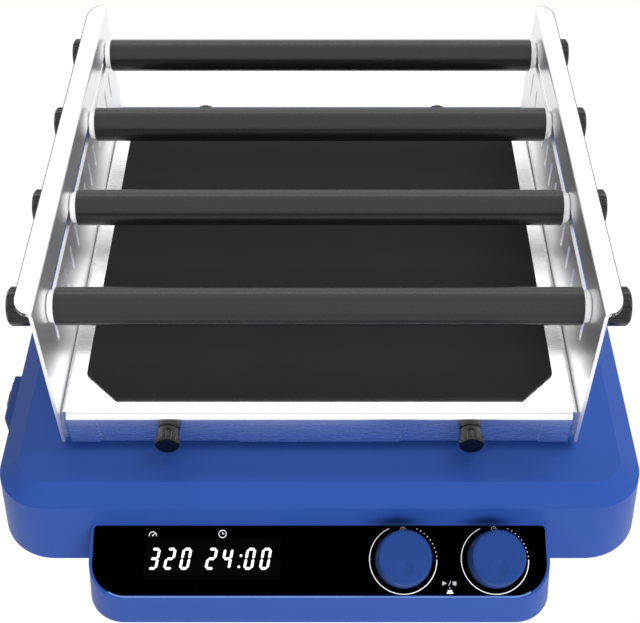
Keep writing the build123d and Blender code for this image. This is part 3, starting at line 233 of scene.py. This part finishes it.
# Softened edges, as moulding leaves them: the painted solids and their edges' widths
SOFT_EDGE_STEPS = 3
SHARP_ANGLE = 30.0
MERGE_DISTANCE = 0.01
SOFT_EDGES = {
    "upper_housing": 0.8,
    "control_housing": 0.9,
    "switch_surround": 0.8,
    "speed_knob": 0.5,
    "time_knob": 0.5,
}


def soften(node, width):
    """A small rounding on a solid's sharp edges, with smooth shading that keeps flats flat."""
    thing = nodes[node]
    weld = thing.modifiers.new("weld", "WELD")
    weld.merge_threshold = MERGE_DISTANCE * MM
    bevel = thing.modifiers.new("bevel", "BEVEL")
    bevel.width = width * MM
    bevel.segments = SOFT_EDGE_STEPS
    bevel.limit_method = "ANGLE"
    bevel.angle_limit = math.radians(SHARP_ANGLE)
    bevel.harden_normals = False
    thing.data.shade_smooth()
    even_normals = thing.modifiers.new("normals", "WEIGHTED_NORMAL")
    even_normals.keep_sharp = True


for node, width in SOFT_EDGES.items():
    soften(node, width)


# Small pieces that the solids leave to this script

def from_bmesh(name, mesh, material, body):
    """A new piece from a finished bmesh, riding on a body."""
    bmesh.ops.recalc_face_normals(mesh, faces=mesh.faces)
    data = bpy.data.meshes.new(name)
    mesh.to_mesh(data)
    mesh.free()
    piece = bpy.data.objects.new(name, data)
    bpy.context.scene.collection.objects.link(piece)
    data.materials.append(material)
    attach(piece, body)
    return piece


panel_low, panel_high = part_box("panel_overlay")
DOWN_SLOPE = Vector((0.0, -math.cos(PANEL_TILT), -math.sin(PANEL_TILT)))
PANEL_NORMAL = Vector((0.0, -math.sin(PANEL_TILT), math.cos(PANEL_TILT)))
# The overlay's top face reaches the box's lowest Y in front and its highest Z at the back
overlay_length = (panel_high.z - panel_low.z) / math.sin(PANEL_TILT)
overlay_length -= OVERLAY_THICKNESS * MM / math.tan(PANEL_TILT)
panel_back = Vector((0.0, panel_low.y + overlay_length * math.cos(PANEL_TILT), panel_high.z))


def panel_point(x, t, lift):
    """A point on the panel: x to the right, t down the slope from its top edge, lift off it."""
    place = panel_back + DOWN_SLOPE * ((t - PANEL_BACK_RIM) * MM) + PANEL_NORMAL * (lift * MM)
    place.x = x * MM
    return place


def panel_print(name, strips, material, lift=PRINT_LIFT):
    """Printed shapes: each strip is two rows of (x, t) points, and the print has a little thickness."""
    mesh = bmesh.new()
    for first, second in strips:
        rows = []
        for row in (first, second):
            rows.append([mesh.verts.new(panel_point(x, t, lift)) for x, t in row])
        for k in range(len(first) - 1):
            mesh.faces.new((rows[0][k], rows[0][k + 1], rows[1][k + 1], rows[1][k]))
    made = bmesh.ops.extrude_face_region(mesh, geom=mesh.faces[:])
    moved = [v for v in made["geom"] if isinstance(v, bmesh.types.BMVert)]
    bmesh.ops.translate(mesh, vec=-PANEL_NORMAL * (PRINT_DEPTH * MM), verts=moved)
    return from_bmesh(name, mesh, material, "root")


def arc(x, t, radius, start, end, steps):
    """Points on an arc, its angles in degrees anticlockwise from the right."""
    angles = [math.radians(start + (end - start) * k / steps) for k in range(steps + 1)]
    return [(x + radius * math.cos(a), t - radius * math.sin(a)) for a in angles]


def ring(x, t, radius, width, start, end, steps):
    """A ring or an arc as one strip."""
    return (
        arc(x, t, radius - width / 2, start, end, steps),
        arc(x, t, radius + width / 2, start, end, steps),
    )


def dot(x, t, radius):
    """A round dot as one strip of two half outlines."""
    return (arc(x, t, radius, 90, 270, DOT_STEPS), arc(x, t, radius, 90, -90, DOT_STEPS))


def directions(x_1, t_1, x_2, t_2, half):
    """The unit vector from one point to another, and half a stroke's width across it."""
    along = Vector((x_2 - x_1, t_2 - t_1)).normalized()
    return along, Vector((-along.y, along.x)) * half


def stroke(x_1, t_1, x_2, t_2, width):
    """A straight stroke between two points."""
    off = directions(x_1, t_1, x_2, t_2, width / 2)[1]
    return (
        [(x_1 + off.x, t_1 + off.y), (x_2 + off.x, t_2 + off.y)],
        [(x_1 - off.x, t_1 - off.y), (x_2 - off.x, t_2 - off.y)],
    )


def block(left, right, top, bottom):
    """A filled rectangle as one strip."""
    return ([(left, top), (right, top)], [(left, bottom), (right, bottom)])


# Which of a digit's seven segments, a to g, each shown figure lights
FIGURES = {"0": "abcdef", "2": "abged", "3": "abgcd", "4": "fgbc"}


def segment_strips(figure, x, top):
    """The lit segments of one slanted figure, each a bar with pointed ends."""
    half = DIGIT_STROKE / 2
    left, right = half, DIGIT_WIDTH - half
    high, middle, low = half, DIGIT_HEIGHT / 2, DIGIT_HEIGHT - half
    ends = {
        "a": (left, high, right, high), "b": (right, high, right, middle),
        "c": (right, middle, right, low), "d": (left, low, right, low),
        "e": (left, middle, left, low), "f": (left, high, left, middle),
        "g": (left, middle, right, middle),
    }
    strips = []
    for name in FIGURES[figure]:
        x_1, t_1, x_2, t_2 = ends[name]
        along, off = directions(x_1, t_1, x_2, t_2, half * SEGMENT_SPREAD)
        start = Vector((x_1, t_1)) + along * SEGMENT_GAP
        stop = Vector((x_2, t_2)) - along * SEGMENT_GAP
        inset = along * half * SEGMENT_POINT
        one = [start, start + inset + off, stop - inset + off, stop]
        two = [start, start + inset - off, stop - inset - off, stop]
        slanted = []
        for row in (one, two):
            slanted.append([
                (x + p.x + (DIGIT_HEIGHT - p.y) * math.tan(DIGIT_SLANT), top + p.y) for p in row
            ])
        strips.append(slanted)
    return strips


def lit_digits(name, text, x):
    """A row of figures in the display window, a colon taking a narrow place."""
    strips = []
    for character in text:
        if character == ":":
            for share in COLON_HEIGHTS:
                shift = (1 - share) * DIGIT_HEIGHT * math.tan(DIGIT_SLANT)
                middle = x + COLON_WIDTH * COLON_CENTRE + shift
                strips.append(dot(middle, DIGIT_TOP + share * DIGIT_HEIGHT, COLON_RADIUS))
            x += COLON_WIDTH
            continue
        strips += segment_strips(character, x, DIGIT_TOP)
        x += DIGIT_PITCH
    lens_lift = -LENS_DROP + PRINT_LIFT + PRINT_DEPTH
    return panel_print(name, strips, digit_white, lift=lens_lift)


def gauge_mark(x, t, size):
    """A small dial gauge, the mark for speed, drawn in shares of its size."""
    return [
        ring(x, t + size * 0.35, size, size * 0.2, -10, 190, GAUGE_STEPS),
        stroke(x, t + size * 0.35, x + size * 0.55, t - size * 0.25, size * 0.2),
        dot(x, t + size * 0.35, size * 0.2),
    ]


def clock_mark(x, t, size):
    """A small clock face, the mark for time, drawn in shares of its size."""
    return [
        ring(x, t, size, size * 0.2, 0, 360, CLOCK_STEPS),
        stroke(x, t + size * 0.1, x, t - size * 0.62, size * 0.18),
        stroke(x - size * 0.08, t, x + size * 0.5, t, size * 0.18),
    ]


lit_digits("speed_digits", "320", SPEED_DIGITS_X)
lit_digits("time_digits", "24:00", TIME_DIGITS_X)
window_marks = {
    "window_speed_mark": gauge_mark(*SPEED_MARK, WINDOW_MARK_SIZE),
    "window_time_mark": clock_mark(*TIME_MARK, WINDOW_MARK_SIZE),
}
for name, strips in window_marks.items():
    panel_print(name, strips, white_print_painted_glow)
for dial, dial_x in DIAL_X.items():
    # The ring is open on its upper right, for the dots and the mark
    dial_ring = ring(dial_x, DIAL_DROP, RING_RADIUS, RING_WIDTH, RING_END - 360.0, 0.0, RING_STEPS)
    panel_print(f"{dial}_ring", [dial_ring], white_print_painted_glow)
    dots = []
    for k in range(DOT_COUNT):
        angle = math.radians(DOT_FIRST + k * DOT_PITCH)
        dot_x = dial_x + RING_RADIUS * math.cos(angle)
        dot_t = DIAL_DROP - RING_RADIUS * math.sin(angle)
        dots.append(dot(dot_x, dot_t, DOT_RADIUS))
    panel_print(f"{dial}_dots", dots, white_print_painted_glow)
dial_marks = {
    "speed_dial_mark": gauge_mark(DIAL_X["speed"], DIAL_MARK_DROP, SPEED_DIAL_MARK_SIZE),
    "time_dial_mark": clock_mark(DIAL_X["time"], DIAL_MARK_DROP, TIME_DIAL_MARK_SIZE),
}
for name, strips in dial_marks.items():
    panel_print(name, strips, grey_print_painted_glow)

# The nose's front edge catches the light, drawn as a painted highlight: a line a shade lighter than its
# paint
NOSE_EDGE_DROP = 42.7
NOSE_LINE_WIDTH = 0.75
NOSE_STRAIGHT = 108.5
NOSE_CORNER = 22.0
NOSE_TURNS = (0.0, 9.0, 18.0, 27.0)
nose_highlight_blue = surface("nose_edge_painted_highlight", (0.150, 0.250, 0.560), 0.40, specular=0.3, spread=0.03,
                    grain=1500.0)


def edge_row(offset):
    """The nose's painted highlight line along its front edge on the slope, a straight run with the start
    of each corner.
    """
    row = []
    for side in (-1, 1):
        for turn in reversed(NOSE_TURNS) if side == -1 else NOSE_TURNS:
            angle = math.radians(turn)
            across = NOSE_STRAIGHT + (NOSE_CORNER + offset) * math.sin(angle)
            drop = (NOSE_CORNER + offset) * math.cos(angle) - NOSE_CORNER
            row.append((side * across, NOSE_EDGE_DROP + drop / math.cos(PANEL_TILT)))
    return row


nose_line = (edge_row(0.0), edge_row(-NOSE_LINE_WIDTH))
panel_print("nose_edge_highlight", [nose_line], nose_highlight_blue)

# Start and stop: a triangle, a slash and a square over a dot and a pressed button
MARK_X = 73.2
SLASH_WIDTH = 0.35
BUTTON_DOT_RADIUS = 0.3
triangle = ([(MARK_X - 4.2, 33.6), (MARK_X - 1.6, 34.8)], [(MARK_X - 4.2, 36.0), (MARK_X - 1.6, 34.81)])
slash = stroke(MARK_X - 0.7, 36.2, MARK_X + 0.7, 33.4, SLASH_WIDTH)
square = block(MARK_X + 1.7, MARK_X + 3.7, 33.8, 35.8)
panel_print("start_stop_mark", [triangle, slash, square], grey_print_painted_glow)
finger = dot(MARK_X, 37.3, BUTTON_DOT_RADIUS)
button = block(MARK_X - 1.3, MARK_X + 1.3, 38.5, 39.5)
button_base = block(MARK_X - 1.8, MARK_X + 1.8, 39.7, 40.5)
panel_print("button_mark", [finger, button, button_base], white_print_painted_glow)

# A dark line along the side plates' outer edges, on the rim of their top and down their outer side
CUT_EDGE_WIDTH = 0.45
CUT_EDGE_LIFT = 0.03
CUT_EDGE_DROP = 1.9
CORNER_WIDTH = 9.0
CORNER_LENGTH = 13.0
CORNER_STEPS = 10
edge_dark = surface("cut_edge", (0.060, 0.060, 0.065), 0.45, metallic=0.4, grain=1200.0)


def flange_outline(node, inset):
    """The flange's outer edge seen from above, drawn in by an inset, and the plate's top height."""
    plate_low, plate_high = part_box(node)
    side = 1.0 if plate_high.x > 0 else -1.0
    outer = max(abs(plate_low.x), abs(plate_high.x)) / MM
    points = []
    for end, y_end in ((-1, plate_low.y / MM), (1, plate_high.y / MM)):
        turns = [90.0 * k / CORNER_STEPS for k in range(CORNER_STEPS + 1)]
        for turn in turns if end == -1 else reversed(turns):
            angle = math.radians(turn)
            x = outer - CORNER_WIDTH + (CORNER_WIDTH - inset) * math.sin(angle)
            y = y_end - end * CORNER_LENGTH + end * (CORNER_LENGTH - inset) * math.cos(angle)
            points.append((side * x, y))
    return points, plate_high.z / MM


for side_name in ("left", "right"):
    outer_line, top = flange_outline(f"side_plate_{side_name}", -CUT_EDGE_LIFT)
    inner_line, top = flange_outline(f"side_plate_{side_name}", CUT_EDGE_WIDTH)
    lines = (
        (inner_line, top + CUT_EDGE_LIFT),
        (outer_line, top + CUT_EDGE_LIFT),
        (outer_line, top - CUT_EDGE_DROP),
    )
    mesh = bmesh.new()
    rows = []
    for line, height in lines:
        rows.append([mesh.verts.new((x * MM, y * MM, height * MM)) for x, y in line])
    for first, second in zip(rows, rows[1:]):
        for k in range(len(first) - 1):
            mesh.faces.new((first[k], first[k + 1], second[k + 1], second[k]))
    from_bmesh(f"cut_edge_{side_name}", mesh, edge_dark, "platform")


# Camera, from a fit to the photograph
CAMERA_PLACE = Vector((4.5, -557.0, 614.1)) * MM
CAMERA_PITCH = 46.48
CAMERA_SENSOR = 36.0
CAMERA_LENS = 65.4
CAMERA_SHIFT = (-0.0115, 0.0007)
CAMERA_NEAR = 10.0
camera_data = bpy.data.cameras.new("camera")
camera_data.sensor_width = CAMERA_SENSOR
camera_data.lens = CAMERA_LENS
camera_data.shift_x, camera_data.shift_y = CAMERA_SHIFT
camera_data.clip_start = CAMERA_NEAR * MM
camera_data.dof.use_dof = False
camera = bpy.data.objects.new("camera", camera_data)
camera.location = CAMERA_PLACE
camera.rotation_euler = (math.radians(90.0 - CAMERA_PITCH), 0.0, 0.0)
bpy.context.scene.collection.objects.link(camera)
bpy.context.scene.camera = camera


# Floor and world: what the camera and the glossy surfaces see is white, and the light is plain
def seen_rays(tree):
    """One for camera, glossy and transmission rays, zero for the light itself."""
    path = tree.nodes.new("ShaderNodeLightPath")
    total = None
    for name in ("Is Camera Ray", "Is Glossy Ray", "Is Transmission Ray"):
        if total is None:
            total = path.outputs[name]
            continue
        step = tree.nodes.new("ShaderNodeMath")
        step.operation = "MAXIMUM"
        tree.links.new(total, step.inputs[0])
        tree.links.new(path.outputs[name], step.inputs[1])
        total = step.outputs[0]
    return total


# The floor, in metres, and how much of what is seen of it is plain white
FLOOR_SIZE = 6.0
FLOOR_SEGMENTS = 8
FLOOR_GREY = (0.80, 0.80, 0.80, 1.0)
FLOOR_ROUGH = 0.9
FLOOR_WHITE = 1.02
FLOOR_WHITE_SHARE = 0.985
PLAIN_WHITE = (1.0, 1.0, 1.0, 1.0)
floor_mesh = bmesh.new()
bmesh.ops.create_grid(
    floor_mesh, x_segments=FLOOR_SEGMENTS, y_segments=FLOOR_SEGMENTS, size=FLOOR_SIZE / 2
)
floor_data = bpy.data.meshes.new("floor")
floor_mesh.to_mesh(floor_data)
floor_mesh.free()
floor = bpy.data.objects.new("floor", floor_data)
bpy.context.scene.collection.objects.link(floor)
floor_material, tree, shader = new_material("floor_paper")
shader.inputs["Base Color"].default_value = FLOOR_GREY
shader.inputs["Roughness"].default_value = FLOOR_ROUGH
shader.inputs["Specular IOR Level"].default_value = 0.0
white = tree.nodes.new("ShaderNodeEmission")
white.inputs["Color"].default_value = PLAIN_WHITE
white.inputs["Strength"].default_value = FLOOR_WHITE
share = tree.nodes.new("ShaderNodeMath")
share.operation = "MULTIPLY"
share.inputs[1].default_value = FLOOR_WHITE_SHARE
tree.links.new(seen_rays(tree), share.inputs[0])
mix = tree.nodes.new("ShaderNodeMixShader")
tree.links.new(share.outputs[0], mix.inputs["Fac"])
tree.links.new(shader.outputs["BSDF"], mix.inputs[1])
tree.links.new(white.outputs["Emission"], mix.inputs[2])
tree.links.new(mix.outputs["Shader"], tree.nodes["Material Output"].inputs["Surface"])
floor_data.materials.append(floor_material)

# The world's brightness as a light, and what polished metal sees above a white backdrop
WORLD_LIGHT = 0.42
GLOSSY_EXTRA = 0.25
world = bpy.data.worlds.new("studio")
bpy.context.scene.world = world
world.use_nodes = True
tree = world.node_tree
background = tree.nodes["Background"]
background.inputs["Color"].default_value = PLAIN_WHITE
level = tree.nodes.new("ShaderNodeMapRange")
level.inputs["To Min"].default_value = WORLD_LIGHT
level.inputs["To Max"].default_value = 1.0
tree.links.new(seen_rays(tree), level.inputs["Value"])
glossy = tree.nodes.new("ShaderNodeLightPath")
extra = tree.nodes.new("ShaderNodeMath")
extra.operation = "MULTIPLY_ADD"
extra.inputs[1].default_value = GLOSSY_EXTRA
tree.links.new(glossy.outputs["Is Glossy Ray"], extra.inputs[0])
tree.links.new(level.outputs["Result"], extra.inputs[2])
tree.links.new(extra.outputs[0], background.inputs["Strength"])


def softbox(name, place, aim, width, height, power, seen_in_gloss=False):
    """A rectangular soft light at a place in metres, turned to a point, its power in watts."""
    data = bpy.data.lights.new(name, "AREA")
    data.shape = "RECTANGLE"
    data.size = width
    data.size_y = height
    data.energy = power
    lamp = bpy.data.objects.new(name, data)
    lamp.location = place
    direction = Vector(aim) - Vector(place)
    lamp.rotation_euler = direction.to_track_quat("-Z", "Y").to_euler()
    lamp.visible_glossy = seen_in_gloss
    bpy.context.scene.collection.objects.link(lamp)


HOUSING_AIM = (0.0, 0.0, 0.05)
BARS_AIM = (0.0, 0.0, 0.1)
softbox("key_light", (0.5, -1.9, 0.9), HOUSING_AIM, width=1.2, height=0.8, power=30.0)
softbox("top_light", (0.9, 0.4, 1.6), HOUSING_AIM, width=1.0, height=1.0, power=16.0)
# The strip gives the line of light along the top of the bars' sleeves
softbox("strip_light", (0.0, 1.25, 1.75), BARS_AIM, width=2.4, height=0.16, power=5.0, seen_in_gloss=True)

bpy.context.scene.view_settings.view_transform = "Standard"
